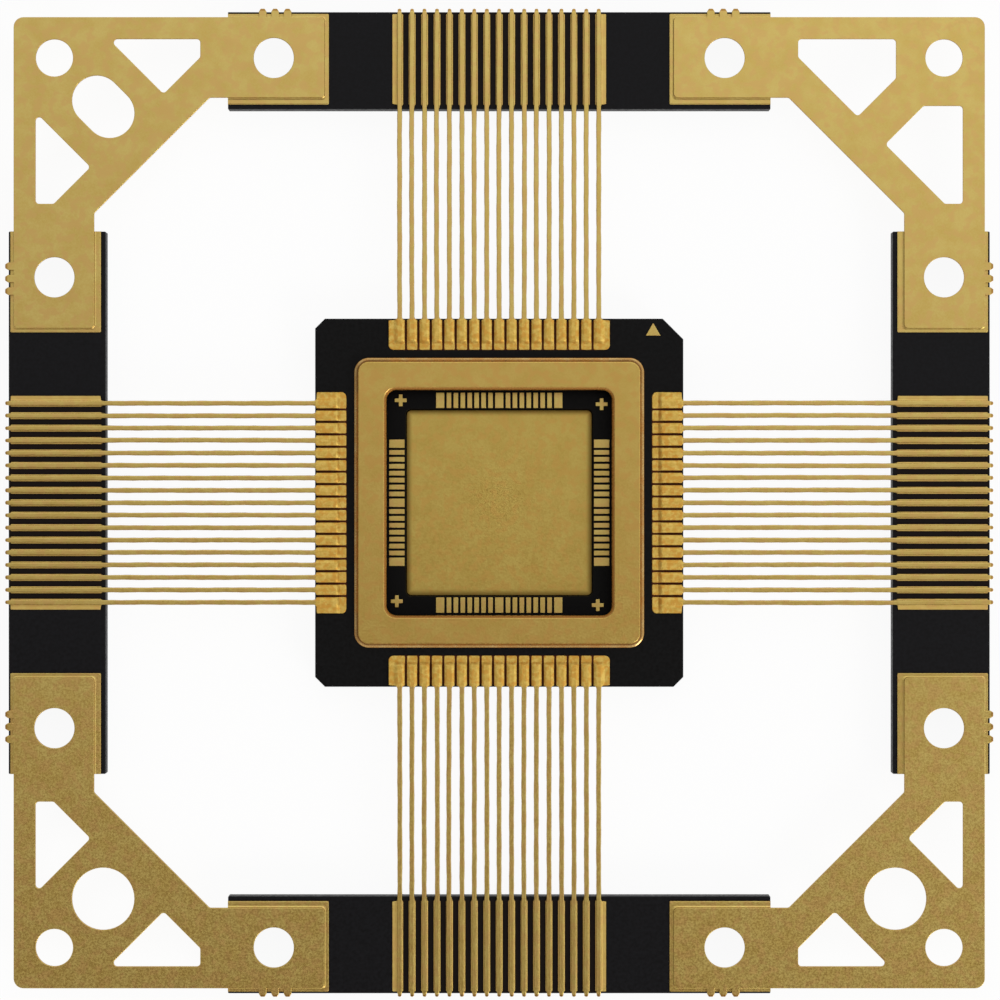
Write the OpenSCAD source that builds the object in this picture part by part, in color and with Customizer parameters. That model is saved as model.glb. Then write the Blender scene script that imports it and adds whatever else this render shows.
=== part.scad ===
// Open-cavity ceramic quad flat package, 17 leads a side, still held in its tie-bar frame.
// Lengths are in millimetres. z = 0 is the underside of the body and +Y is north.
// Sizes run outwards from the die cavity, so each one moves all that lies outside it.

/* [Leads] */
// Leads on each side of the body, an odd number
leads_per_side = 17; // [9:2:19]
// Distance between the centres of neighbouring leads
lead_pitch = 0.635; // [0.60:0.005:0.72]
// Width of an etched lead
lead_w = 0.25; // [0.20:0.01:0.30]
// Thickness of the etched sheet that leads and corner frames are cut from
sheet_t = 0.15; // [0.10:0.01:0.25]
// Free length of a lead between the body and the tie bar
free_span = 10.70; // [6:0.1:16]
// How far the broken-off lead ends stand out past the tie bars
nub_l = 0.15; // [0.05:0.01:0.40]
// Width of a broken-off lead end at its tip
nub_tip_w = 0.15; // [0.10:0.01:0.20]

/* [Die cavity and bond shelf] */
// Side of the square die cavity
die_side = 9.60; // [8.8:0.1:12]
// Corner radius of the die cavity
die_corner_r = 0.30; // [0.15:0.05:1]
// Depth of the die cavity below the bond shelf
die_depth = 0.50; // [0.25:0.05:0.9]
// Width of the bond shelf round the die cavity
shelf_w = 0.95; // [0.80:0.01:1.6]
// Depth of the bond shelf below the top of the body
shelf_depth = 0.60; // [0.35:0.05:1]
// Corner radius of the opening above the bond shelf
opening_corner_r = 0.50; // [0.2:0.05:1]
// Ceramic left below the die cavity
floor_t = 0.80; // [0.4:0.05:1.5]

/* [Printed metal] */
// Thickness of the printed and plated metal on the ceramic
print_t = 0.05; // [0.03:0.01:0.10]
// Ceramic left bare between the die cavity wall and its gold floor
floor_margin = 0.04; // [0.02:0.01:0.2]
// Width of an ordinary bond finger
finger_w = 0.245; // [0.18:0.005:0.27]
// Width of the first, middle and last bond finger
wide_finger_w = 0.43; // [0.30:0.01:0.50]
// Gap between neighbouring bond fingers
finger_gap = 0.11; // [0.08:0.01:0.14]
// Bare shelf between the bond fingers and the die cavity
finger_inner_margin = 0.05; // [0.03:0.01:0.1]
// Bare shelf between the bond fingers and the cavity wall
finger_outer_margin = 0.10; // [0.05:0.01:0.15]
// Length of the arms of an alignment cross
cross_l = 0.62; // [0.4:0.02:0.7]
// Width of the arms of an alignment cross
cross_w = 0.20; // [0.12:0.02:0.26]
// Distance of an alignment cross from the nearer wall of the opening
cross_near_inset = 0.50; // [0.42:0.01:0.55]
// Distance of an alignment cross from the farther wall of the opening
cross_far_inset = 0.70; // [0.42:0.01:0.9]
// Width of the pin 1 triangle at its base
mark_w = 0.76; // [0.5:0.02:1]
// Height of the pin 1 triangle
mark_h = 0.65; // [0.4:0.05:0.9]
// Distance of the pin 1 triangle's centre line from the east edge of the body
mark_side_inset = 1.54; // [1.35:0.01:1.8]
// Distance of the pin 1 triangle's point from the north edge of the body
mark_tip_inset = 0.22; // [0.1:0.01:0.5]

/* [Seal ring] */
// Width of the seal ring
ring_w = 1.45; // [0.8:0.05:2.4]
// Height of the seal ring above its braze
ring_h = 0.40; // [0.25:0.05:1]
// Outer corner radius of the seal ring
ring_corner_r = 0.55; // [0.4:0.05:1.2]
// Radius rolled along the top edges of the seal ring
ring_edge_r = 0.08; // [0.04:0.01:0.14]
// Width of the braze fillet round the foot of the seal ring
ring_braze_w = 0.20; // [0.1:0.01:0.3]
// Height of that braze fillet above the printed metal
ring_braze_h = 0.15; // [0.08:0.01:0.2]

/* [Body and lead pads] */
// Bare ceramic between the seal ring's braze and the lead pads
ring_gap = 0.40; // [0.2:0.05:1]
// Length of a lead pad on the body
body_pad_l = 1.53; // [1.2:0.01:2.2]
// Width of a lead pad on the body
body_pad_w = 0.545; // [0.5:0.005:0.57]
// Bare ceramic between a lead pad and the edge of the body
body_pad_edge = 0.07; // [0.02:0.01:0.2]
// Corners cut from the inner end of a lead pad
body_pad_cut = 0.06; // [0.02:0.01:0.14]
// How much wider than the others the two end pads are, towards the corner
body_end_pad_extra = 0.30; // [0:0.05:0.6]
// Corner cut from an end pad where it faces the corner of the body
body_end_pad_cut = 0.18; // [0.05:0.01:0.3]
// Distance of a lead's inner end from the inner end of its pad
lead_setback = 0.48; // [0.25:0.01:0.8]
// Leg of the chamfer that marks the pin 1 corner
index_chamfer = 1.05; // [0.8:0.05:1.3]
// Leg of the chamfer on the other three corners
corner_chamfer = 0.50; // [0.2:0.05:0.8]

/* [Braze along the leads] */
// Greatest width of the braze fillet beside a lead
lead_braze_w = 0.07; // [0.03:0.01:0.08]
// Height of the braze fillet beside a lead
lead_braze_h = 0.09; // [0.04:0.01:0.10]
// How far the metal of a body pad creeps out along its lead
body_creep = 0.16; // [0.05:0.01:0.2]
// How far the metal of a bar pad creeps inwards along its lead
bar_creep = 0.20; // [0.05:0.01:0.3]

/* [Tie bars] */
// Width of a tie bar
bar_w = 4.95; // [4.4:0.05:6]
// Thickness of a tie bar
bar_t = 1.00; // [0.6:0.05:1.6]
// Width of a lead pad on a tie bar
bar_pad_w = 0.37; // [0.34:0.01:0.42]
// How much wider than the others the two end pads are, away from the row's middle
bar_end_pad_extra = 0.20; // [0:0.02:0.4]
// Corners cut from the outer end of a lead pad on a tie bar
bar_pad_cut = 0.06; // [0.02:0.01:0.12]
// Bare ceramic between the printed metal and the inner edge of a tie bar
bar_inner_margin = 0.23; // [0.1:0.01:0.5]
// Bare ceramic between the printed metal and the outer edge of a tie bar
bar_outer_margin = 0.10; // [0.05:0.01:0.2]
// Length of corner frame that lies on each end of a tie bar
bar_lap = 4.95; // [4.2:0.05:5.5]
// Rim of printed metal that shows past the end of a corner frame
land_rim = 0.20; // [0.1:0.05:0.5]
// Radius of the free corners of that printed metal
land_corner_r = 0.06; // [0.03:0.01:0.3]
// How much wider in radius the hole in a tie bar is than the hole in the arm on it
bar_hole_relief = 0.20; // [0.05:0.01:0.4]

/* [Corner frames] */
// Distance along the bar from the last lead's centre to the end of an arm
arm_gap = 3.82; // [2.5:0.05:5]
// Width of an arm
arm_w = 4.11; // [3.6:0.05:4.3]
// How far the outer edge of a corner frame lies inside the edge of the tie bars
frame_inset = 0.28; // [0.2:0.01:0.35]
// Radius of the outer corner
frame_corner_r = 0.50; // [0.2:0.05:1]
// Radius of the corners at the end of an arm
arm_corner_r = 0.22; // [0.1:0.02:0.5]
// Distance from the outer corner to where the slanting inner edge meets an arm
web_reach = 10.00; // [9:0.1:10.6]
// Width of the slanting brace between its inner edge and the windows
brace_w = 1.80; // [1.3:0.05:2.3]
// Width of the rim between a window and the outer edge
rim_w = 1.12; // [0.8:0.05:1.4]
// Distance from the end of a window to the root of the arm
window_end_inset = 0.48; // [0.3:0.02:0.8]
// Radius of the window corners
window_r = 0.18; // [0.1:0.01:0.3]
// Half width of the spine between the windows of a corner with a tooling hole
holed_spine_half_w = 2.64; // [2.4:0.02:2.8]
// Half width of the spine between the windows of the pin 1 corner
plain_spine_half_w = 1.00; // [0.8:0.05:1.3]
// Distance of the pin 1 corner's windows from the outer edge across them
plain_window_start = 4.53; // [4.2:0.02:5]

/* [Holes] */
// Distance of the corner and arm holes from the outer edge
hole_inset = 2.08; // [1.8:0.02:2.3]
// Radius of the hole in each outer corner
corner_hole_r = 0.95; // [0.6:0.01:1.1]
// Radius of the hole in each arm
arm_hole_r = 1.025; // [0.7:0.01:1.2]
// Distance of the arm holes from the end of the arm
arm_hole_end = 2.60; // [2.2:0.02:2.8]
// Radius of the two round tooling holes
tooling_hole_r = 1.5875; // [1.2:0.01:1.65]
// Distance of the tooling holes from both outer edges
tooling_hole_inset = 4.57; // [4.4:0.01:4.7]
// Radius of the ends of the alignment slot
slot_r = 1.26; // [0.9:0.01:1.4]
// Distance between the end centres of the alignment slot
slot_run = 0.94; // [0.4:0.02:1.2]

/* [Broken-off tabs] */
// Tabs left along the outer edge of each arm
tabs_per_arm = 3; // [1:1:4]
// Lead pitches from the middle of the row to the first tab
first_tab_pitch = 17; // [16:1:17]
// Width of a tab at its root
tab_root_w = 0.39; // [0.30:0.01:0.45]
// Width of a tab at its tip
tab_tip_w = 0.20; // [0.15:0.01:0.30]

/* [Hidden] */

$fn = 48;
round_steps = 6;
cut = 1;
sqrt2 = sqrt(2);

// Turns about +Z that carry a north side or a northeast corner to each place
north = 0;
west = 90;
south = 180;
east = 270;

// Distances from the centre of the package, working outwards
die_half = die_side / 2;
opening_half = die_half + shelf_w;
ring_half = opening_half + ring_w;
ring_braze_half = ring_half + ring_braze_w;
body_pad_in = ring_braze_half + ring_gap;
body_half = body_pad_in + body_pad_l + body_pad_edge;
lead_in = body_pad_in + lead_setback;
bar_in = body_half + free_span;
bar_out = bar_in + bar_w;
lead_out = bar_out + nub_l;
frame_out = bar_out - frame_inset;

// Distances along a side from its middle
middle_lead = (leads_per_side - 1) / 2;
row_half = middle_lead * lead_pitch;
arm_end = row_half + arm_gap;
bar_half = arm_end + bar_lap;
arm_hole_along = arm_end + arm_hole_end;

// Heights
die_floor_z = floor_t;
shelf_z = die_floor_z + die_depth;
body_top = shelf_z + shelf_depth;
sheet_z = body_top + print_t;
bar_z = body_top - bar_t;

gold = [0.73, 0.62, 0.35];
bright_gold = [0.78, 0.64, 0.30];
braze_brown = [0.48, 0.30, 0.12];
black_ceramic = [0.10, 0.10, 0.11];

// ---- Outlines --------------------------------------------------------------------------------

function unit(v) = v / norm(v);

// Points of the arc of radius r that rounds a corner, or the corner itself where r is 0
function corner_arc(before, corner, after, r) =
    r == 0 ? [corner] :
    let (
        back = unit(before - corner),
        ahead = unit(after - corner),
        half = acos(back * ahead) / 2,
        centre = corner + unit(back + ahead) * r / sin(half),
        first = corner + back * r / tan(half) - centre,
        last = corner + ahead * r / tan(half) - centre,
        start = atan2(first[1], first[0]),
        turn = (atan2(last[1], last[0]) - start + 540) % 360 - 180
    )
    [for (i = [0 : round_steps])
        centre + r * [cos(start + turn * i / round_steps), sin(start + turn * i / round_steps)]];

// An outline given by its corners, each rounded by the radius of the same place in the list
function rounded(corners, radii) =
    let (n = len(corners))
    [for (k = [0 : n - 1])
        each corner_arc(corners[(k + n - 1) % n], corners[k], corners[(k + 1) % n], radii[k])];

module rounded_square(half, r) {
    corners = [[half, half], [-half, half], [-half, -half], [half, -half]];
    polygon(rounded(corners, [r, r, r, r]));
}

// A slab on a rounded square plan. Its rim follows the child, a half section drawn
// with x = 0 on the centre line of the corner's arc and y upwards.
module rimmed_slab(half, corner_r, height) {
    straight = half - corner_r;
    for (turn = [0 : 90 : 270])
        rotate([0, 0, turn]) {
            translate([straight, straight, 0]) rotate_extrude() children();
            translate([straight, straight, 0])
                rotate([90, 0, 0]) linear_extrude(2 * straight) children();
        }
    translate([-straight, -straight, 0]) cube([2 * straight, 2 * straight, height]);
}

// One shape for each lead of the north side, at the lead's centre line
module along_row(turn) {
    rotate([0, 0, turn])
        for (i = [-middle_lead : middle_lead])
            translate([i * lead_pitch, 0, 0]) {
                $lead = i;
                children();
            }
}

// ---- Ceramic body ----------------------------------------------------------------------------

module ceramic_body() {
    plain_cut = body_half - corner_chamfer;
    index_cut = body_half - index_chamfer;
    outline = [
        [index_cut, body_half], [-plain_cut, body_half],
        [-body_half, plain_cut], [-body_half, -plain_cut],
        [-plain_cut, -body_half], [plain_cut, -body_half],
        [body_half, -plain_cut], [body_half, index_cut]
    ];
    color(black_ceramic)
        difference() {
            linear_extrude(body_top) polygon(outline);
            translate([0, 0, shelf_z])
                linear_extrude(shelf_depth + cut) rounded_square(opening_half, opening_corner_r);
            translate([0, 0, die_floor_z])
                linear_extrude(die_depth + cut) rounded_square(die_half, die_corner_r);
        }
}

module die_attach_pad() {
    color(gold)
        translate([0, 0, die_floor_z])
            linear_extrude(print_t)
                rounded_square(die_half - floor_margin, die_corner_r - floor_margin);
}

// ---- Bond shelf ------------------------------------------------------------------------------

function finger_width(i) = abs(i) == middle_lead || i == 0 ? wide_finger_w : finger_w;

// Distance from the middle of the row to the centre of finger i, for i of 0 or more
function finger_centre(i) =
    i == 0 ? 0 : finger_centre(i - 1) + (finger_width(i - 1) + finger_width(i)) / 2 + finger_gap;

module bond_fingers(turn) {
    inner = die_half + finger_inner_margin;
    finger_l = shelf_w - finger_inner_margin - finger_outer_margin;
    color(gold)
        rotate([0, 0, turn])
            for (i = [-middle_lead : middle_lead])
                translate([sign(i) * finger_centre(abs(i)) - finger_width(i) / 2, inner, shelf_z])
                    cube([finger_width(i), finger_l, print_t]);
}

module bond_fingers_north() { bond_fingers(north); }
module bond_fingers_east() { bond_fingers(east); }
module bond_fingers_south() { bond_fingers(south); }
module bond_fingers_west() { bond_fingers(west); }

module alignment_crosses() {
    arm = cross_l / 2;
    rib = cross_w / 2;
    plus = [
        [rib, rib], [rib, arm], [-rib, arm], [-rib, rib], [-arm, rib], [-arm, -rib],
        [-rib, -rib], [-rib, -arm], [rib, -arm], [rib, -rib], [arm, -rib], [arm, rib]
    ];
    color(gold)
        for (turn = [north, west, south, east])
            rotate([0, 0, turn])
                translate([opening_half - cross_near_inset, opening_half - cross_far_inset, shelf_z])
                    linear_extrude(print_t) polygon(plus);
}

module pin_one_mark() {
    color(gold)
        translate([body_half - mark_side_inset, body_half - mark_tip_inset, body_top])
            linear_extrude(print_t)
                polygon([[0, 0], [-mark_w / 2, -mark_h], [mark_w / 2, -mark_h]]);
}

// ---- Seal ring -------------------------------------------------------------------------------

// Printed metal under the ring, with the braze fillet that climbs the ring's outer wall
module seal_ring_braze() {
    outer_r = ring_corner_r + ring_braze_w;
    fillet = [for (i = [0 : round_steps])
        [outer_r - ring_braze_w * sin(90 * i / round_steps),
         print_t + ring_braze_h * (1 - cos(90 * i / round_steps))]];
    color(braze_brown)
        translate([0, 0, body_top])
            difference() {
                rimmed_slab(ring_braze_half, outer_r, print_t + ring_braze_h)
                    polygon(concat([[0, 0], [outer_r, 0]], fillet, [[0, print_t + ring_braze_h]]));
                translate([0, 0, print_t])
                    linear_extrude(ring_braze_h + cut) rounded_square(ring_half, ring_corner_r);
                translate([0, 0, -cut])
                    linear_extrude(2 * cut) rounded_square(opening_half, opening_corner_r);
            }
}

module seal_ring() {
    color(gold)
        translate([0, 0, sheet_z])
            difference() {
                intersection() {
                    linear_extrude(ring_h) rounded_square(ring_half, ring_corner_r);
                    rimmed_slab(ring_half, ring_corner_r, ring_h) ring_rim(ring_corner_r, ring_h);
                }
                translate([0, 0, -cut])
                    linear_extrude(2 * cut) rounded_square(opening_half, opening_corner_r);
            }
}

// Half section of the ring's outer side, its top edge rolled over
module ring_rim(reach, height) {
    roll = [for (i = [0 : round_steps])
        [reach - ring_edge_r * (1 - cos(90 * i / round_steps)),
         height - ring_edge_r * (1 - sin(90 * i / round_steps))]];
    polygon(concat([[0, 0], [reach, 0]], roll, [[0, height]]));
}

// ---- Lead pads and braze ---------------------------------------------------------------------

// Braze fillets on both sides of a lead, from its foot on the pad up its walls
module side_braze(length, pad_w) {
    foot = min(lead_braze_w, (pad_w - lead_w) / 2);
    for (side = [0, 1])
        mirror([side, 0, 0])
            translate([lead_w / 2, length, 0])
                rotate([90, 0, 0])
                    linear_extrude(length)
                        polygon([[0, 0], [foot, 0], [foot / 3, lead_braze_h / 3],
                                 [0, lead_braze_h]]);
}

// Outline of the metal that creeps along a lead, from reach beside it at y = 0 to its side at the
// tip, hollow like a meniscus. It runs from +x round the tip to -x.
function creep_outline(reach, length) =
    let (
        half = lead_w / 2,
        flank = [for (i = [0 : round_steps])
            [half + reach * (1 - sin(90 * i / round_steps)), length * (1 - cos(90 * i / round_steps))]]
    )
    concat(flank, [for (i = [round_steps : -1 : 0]) [-flank[i][0], flank[i][1]]]);

// Which way an end pad of a row is widened, or 0 for the pads between
function end_side(i) = abs(i) == middle_lead ? sign(i) : 0;

module body_pads(turn) {
    plain_half = body_pad_w / 2;
    creep = [for (p = creep_outline(plain_half - lead_w / 2, body_creep)) p + [0, body_pad_l]];
    color(bright_gold)
        along_row(turn) {
            wider = end_side($lead);
            left = -plain_half - (wider < 0 ? body_end_pad_extra : 0);
            right = plain_half + (wider > 0 ? body_end_pad_extra : 0);
            left_cut = wider < 0 ? body_end_pad_cut : body_pad_cut;
            right_cut = wider > 0 ? body_end_pad_cut : body_pad_cut;
            inner_end = [[left, left_cut], [left + left_cut, 0], [right - right_cut, 0], [right, right_cut]];
            right_end = wider > 0 ? [[right, body_pad_l]] : [];
            left_end = wider < 0 ? [[left, body_pad_l]] : [];
            outline = concat(inner_end, right_end, creep, left_end);
            translate([0, body_pad_in, body_top]) {
                linear_extrude(print_t) polygon(outline);
                translate([0, lead_setback, print_t]) side_braze(body_pad_l - lead_setback, body_pad_w);
            }
        }
}

module body_pads_north() { body_pads(north); }
module body_pads_east() { body_pads(east); }
module body_pads_south() { body_pads(south); }
module body_pads_west() { body_pads(west); }

module bar_pads(turn) {
    start = bar_in + bar_inner_margin;
    length = bar_w - bar_inner_margin - bar_outer_margin;
    plain_half = bar_pad_w / 2;
    creep = [for (p = creep_outline(plain_half - lead_w / 2, bar_creep)) [-p[0], -p[1]]];
    color(gold)
        along_row(turn) {
            wider = end_side($lead);
            left = -plain_half - (wider < 0 ? bar_end_pad_extra : 0);
            right = plain_half + (wider > 0 ? bar_end_pad_extra : 0);
            outer_end = [
                [right, length - bar_pad_cut], [right - bar_pad_cut, length],
                [left + bar_pad_cut, length], [left, length - bar_pad_cut]
            ];
            left_end = wider < 0 ? [[left, 0]] : [];
            right_end = wider > 0 ? [[right, 0]] : [];
            outline = concat(left_end, creep, right_end, outer_end);
            translate([0, start, body_top]) {
                linear_extrude(print_t) polygon(outline);
                translate([0, 0, print_t]) side_braze(length, bar_pad_w);
            }
        }
}

module bar_pads_north() { bar_pads(north); }
module bar_pads_east() { bar_pads(east); }
module bar_pads_south() { bar_pads(south); }
module bar_pads_west() { bar_pads(west); }

// ---- Leads -----------------------------------------------------------------------------------

// Flat etched leads, from the body pads across the tie bar to their broken-off tips
module leads(turn) {
    half = lead_w / 2;
    tip = nub_tip_w / 2;
    color(gold)
        along_row(turn)
            translate([0, 0, sheet_z])
                linear_extrude(sheet_t)
                    polygon([[-half, lead_in], [half, lead_in], [half, bar_out],
                             [tip, lead_out], [-tip, lead_out], [-half, bar_out]]);
}

module leads_north() { leads(north); }
module leads_east() { leads(east); }
module leads_south() { leads(south); }
module leads_west() { leads(west); }

// ---- Tie bars --------------------------------------------------------------------------------

// Places on the north side where an arm hole goes through
module at_arm_holes() {
    for (side = [-1, 1])
        translate([side * arm_hole_along, frame_out - hole_inset, 0]) children();
}

module tie_bar(turn) {
    color(black_ceramic)
        rotate([0, 0, turn])
            difference() {
                translate([-bar_half, bar_in, bar_z]) cube([2 * bar_half, bar_w, bar_t]);
                at_arm_holes()
                    translate([0, 0, bar_z - cut])
                        cylinder(r = arm_hole_r + bar_hole_relief, h = bar_t + 2 * cut);
            }
}

module tie_bar_north() { tie_bar(north); }
module tie_bar_east() { tie_bar(east); }
module tie_bar_south() { tie_bar(south); }
module tie_bar_west() { tie_bar(west); }

// Printed metal on both ends of a tie bar, on which the arms are brazed
module frame_lands(turn) {
    inner = arm_end - land_rim;
    length = bar_half - inner;
    width = bar_w - bar_inner_margin - bar_outer_margin;
    plan = rounded([[0, 0], [length, 0], [length, width], [0, width]], [land_corner_r, 0, 0, land_corner_r]);
    color(bright_gold)
        rotate([0, 0, turn])
            difference() {
                for (side = [0, 1])
                    mirror([side, 0, 0])
                        translate([inner, bar_in + bar_inner_margin, body_top])
                            linear_extrude(print_t) polygon(plan);
                at_arm_holes()
                    translate([0, 0, body_top - cut])
                        cylinder(r = arm_hole_r + bar_hole_relief, h = 2 * cut);
            }
}

module frame_lands_north() { frame_lands(north); }
module frame_lands_east() { frame_lands(east); }
module frame_lands_south() { frame_lands(south); }
module frame_lands_west() { frame_lands(west); }

// ---- Corner frames ---------------------------------------------------------------------------
// These are drawn from the outer corner: u runs along one outer edge and v along the other.

arm_l = frame_out - arm_end;

// Outline of a corner frame, with an arm along each outer edge and a slanting inner edge
function frame_outline() =
    rounded(
        [[0, 0], [arm_l, 0], [arm_l, arm_w], [web_reach, arm_w],
         [arm_w, web_reach], [arm_w, arm_l], [0, arm_l]],
        [frame_corner_r, arm_corner_r, arm_corner_r, window_r, window_r, arm_corner_r, arm_corner_r]
    );

// A window beside the u edge, between that rim, the arm's root, the brace and the spine.
// u + v is constant along the brace and u - v is constant along the spine.
function window_outline(spine_half_w, start) =
    let (
        brace_sum = web_reach + arm_w - brace_w * sqrt2,
        spine_gap = spine_half_w * sqrt2,
        end = web_reach - window_end_inset,
        inner = [(brace_sum + spine_gap) / 2, (brace_sum - spine_gap) / 2],
        spine_foot = rim_w + spine_gap
    )
    start > spine_foot
        ? [[start, rim_w], [end, rim_w], [end, brace_sum - end], inner, [start, start - spine_gap]]
        : [[spine_foot, rim_w], [end, rim_w], [end, brace_sum - end], inner];

module window(spine_half_w, start) {
    corners = window_outline(spine_half_w, start);
    polygon(rounded(corners, [for (corner = corners) window_r]));
}

// A tab on the outer edge that lies along u, where the outer rails were broken off
module tabs() {
    for (i = [0 : tabs_per_arm - 1])
        translate([frame_out - (first_tab_pitch + i) * lead_pitch, 0])
            polygon([[-tab_root_w / 2, rim_w / 2], [-tab_root_w / 2, -frame_inset],
                     [-tab_tip_w / 2, -frame_inset - nub_l], [tab_tip_w / 2, -frame_inset - nub_l],
                     [tab_root_w / 2, -frame_inset], [tab_root_w / 2, rim_w / 2]]);
}

// Both of a pair of shapes, one on each side of the corner's diagonal
module both_sides() {
    children();
    mirror([1, -1]) children();
}

// One corner of the etched sheet; the children are its tooling hole, drawn round the hole's centre
module corner_frame(turn, spine_half_w, window_start = 0) {
    color(gold)
        rotate([0, 0, turn])
            translate([frame_out, frame_out, sheet_z])
                linear_extrude(sheet_t)
                    mirror([1, 0]) mirror([0, 1])
                        difference() {
                            union() {
                                polygon(frame_outline());
                                both_sides() tabs();
                            }
                            both_sides() window(spine_half_w, window_start);
                            both_sides()
                                translate([frame_out - arm_hole_along, hole_inset]) circle(arm_hole_r);
                            translate([hole_inset, hole_inset]) circle(corner_hole_r);
                            translate([tooling_hole_inset, tooling_hole_inset]) children();
                        }
}

// A slot that runs along the corner's diagonal
module alignment_slot() {
    rotate(45) {
        translate([-slot_run / 2, -slot_r]) square([slot_run, 2 * slot_r]);
        for (end = [-1, 1])
            translate([end * slot_run / 2, 0]) circle(slot_r);
    }
}

module corner_frame_northeast() { corner_frame(north, plain_spine_half_w, plain_window_start); }
module corner_frame_northwest() { corner_frame(west, holed_spine_half_w) alignment_slot(); }
module corner_frame_southwest() { corner_frame(south, holed_spine_half_w) circle(tooling_hole_r); }
module corner_frame_southeast() { corner_frame(east, holed_spine_half_w) circle(tooling_hole_r); }

// ---- What is drawn ---------------------------------------------------------------------------

ceramic_body();
die_attach_pad();
alignment_crosses();
pin_one_mark();
seal_ring_braze();
seal_ring();
bond_fingers_north();
bond_fingers_east();
bond_fingers_south();
bond_fingers_west();
body_pads_north();
body_pads_east();
body_pads_south();
body_pads_west();
leads_north();
leads_east();
leads_south();
leads_west();
tie_bar_north();
tie_bar_east();
tie_bar_south();
tie_bar_west();
bar_pads_north();
bar_pads_east();
bar_pads_south();
bar_pads_west();
frame_lands_north();
frame_lands_east();
frame_lands_south();
frame_lands_west();
corner_frame_northeast();
corner_frame_northwest();
corner_frame_southwest();
corner_frame_southeast();
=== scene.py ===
"""Looks of an open-cavity ceramic quad flat package, seal ring up, still held in its tie-bar frame.

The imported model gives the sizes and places. Lengths are in metres, +Z is up and +Y is north.
"""

import logging
from collections.abc import Sequence
from dataclasses import dataclass
from enum import Enum

import bmesh
import bpy
import numpy as np
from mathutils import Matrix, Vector


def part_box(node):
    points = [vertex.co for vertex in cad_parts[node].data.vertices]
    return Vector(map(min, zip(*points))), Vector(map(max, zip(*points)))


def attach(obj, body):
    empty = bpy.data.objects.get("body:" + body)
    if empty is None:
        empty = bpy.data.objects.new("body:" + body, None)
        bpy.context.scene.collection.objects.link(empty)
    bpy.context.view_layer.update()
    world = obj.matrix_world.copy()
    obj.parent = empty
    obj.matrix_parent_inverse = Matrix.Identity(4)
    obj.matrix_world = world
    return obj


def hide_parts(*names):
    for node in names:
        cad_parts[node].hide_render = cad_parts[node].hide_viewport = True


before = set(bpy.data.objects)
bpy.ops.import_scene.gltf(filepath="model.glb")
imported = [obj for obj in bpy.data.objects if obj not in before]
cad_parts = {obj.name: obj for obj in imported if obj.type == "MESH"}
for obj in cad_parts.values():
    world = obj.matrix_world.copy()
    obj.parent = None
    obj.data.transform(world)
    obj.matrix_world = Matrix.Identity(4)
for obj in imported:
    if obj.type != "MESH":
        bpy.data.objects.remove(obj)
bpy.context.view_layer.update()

log = logging.getLogger("package")

MM = 0.001
MICRON = 0.000001
BODY = "root"
LEADS_PER_SIDE = 17
SEED = 17

Colour = tuple[float, float, float, float]
Range = tuple[float, float]
Socket = bpy.types.NodeSocket


def srgb(red: int, green: int, blue: int) -> Colour:
    """A colour by its display values, taken back along the display's curve to linear light.

    Args:
        red: Red, from 0 to 255.
        green: Green.
        blue: Blue.

    Returns:
        The colour that shaders take.
    """
    display = np.array([red, green, blue]) / 255
    linear = np.where(display <= 0.04045, display / 12.92, ((display + 0.055) / 1.055) ** 2.4)
    return (*linear.tolist(), 1.0)


class Slot(Enum):
    """The record's material slots."""

    CERAMIC = "black_ceramic"
    CAVITY = "cavity_gold"
    PRINT = "plated_print"
    BRAZE = "gold_braze"
    RING = "ring_gold"
    SHEET = "sheet_gold"


class Corner(Enum):
    """A corner of the sheet, by its name in the nodes."""

    NORTHEAST = "northeast"
    NORTHWEST = "northwest"
    SOUTHWEST = "southwest"
    SOUTHEAST = "southeast"


class Side(Enum):
    """A side of the package, as the quarter turns about +Z that carry the north side to it."""

    NORTH = 0
    WEST = 1
    SOUTH = 2
    EAST = 3

    @property
    def label(self) -> str:
        """The side's name as the nodes spell it."""
        return self.name.lower()

    def turn(self, points: np.ndarray) -> np.ndarray:
        """Carries points drawn on the north side to this side, by whole quarter turns.

        Args:
            points: The points, with x, y and z on the last axis.

        Returns:
            The turned points, in the same layout.
        """
        cosine, sine = ((1, 0), (0, 1), (-1, 0), (0, -1))[self.value]
        x, y = points[..., 0], points[..., 1]
        return np.stack([cosine * x - sine * y, sine * x + cosine * y, points[..., 2]], axis=-1)


# ---- Surfaces ------------------------------------------------------------------------------------


@dataclass(frozen=True)
class Patch:
    """A piece of surface.

    Attributes:
        points: Its points, one to a row.
        faces: Its faces, each a list of rows of points.
    """

    points: np.ndarray
    faces: list[list[int]]

    @classmethod
    def grid(cls, points: np.ndarray, wrap: tuple[bool, bool] = (False, False),
             caps: bool = False) -> "Patch":
        """Quads between the neighbours of a grid of points.

        Args:
            points: The grid, of shape (rows, columns, 3).
            wrap: Whether the last row joins the first, and the last column the first.
            caps: Whether the first and the last row are closed by a face each.

        Returns:
            The patch.
        """
        rows, columns = points.shape[:2]
        index = np.arange(rows * columns).reshape(rows, columns)
        ends = [index[0, ::-1].tolist(), index[-1].tolist()] if caps else []
        if wrap[0]:
            index = np.vstack([index, index[:1]])
        if wrap[1]:
            index = np.hstack([index, index[:, :1]])
        quads = np.stack([index[:-1, :-1], index[:-1, 1:], index[1:, 1:], index[1:, :-1]], axis=-1)
        return cls(points.reshape(-1, 3), quads.reshape(-1, 4).tolist() + ends)

    @classmethod
    def joined(cls, patches: Sequence["Patch"]) -> "Patch":
        """Puts patches into one, without merging their points.

        Args:
            patches: The patches.

        Returns:
            The whole.
        """
        faces: list[list[int]] = []
        start = 0
        for patch in patches:
            faces += [[corner + start for corner in face] for face in patch.faces]
            start += len(patch.points)
        return cls(np.vstack([patch.points for patch in patches]), faces)


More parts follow.
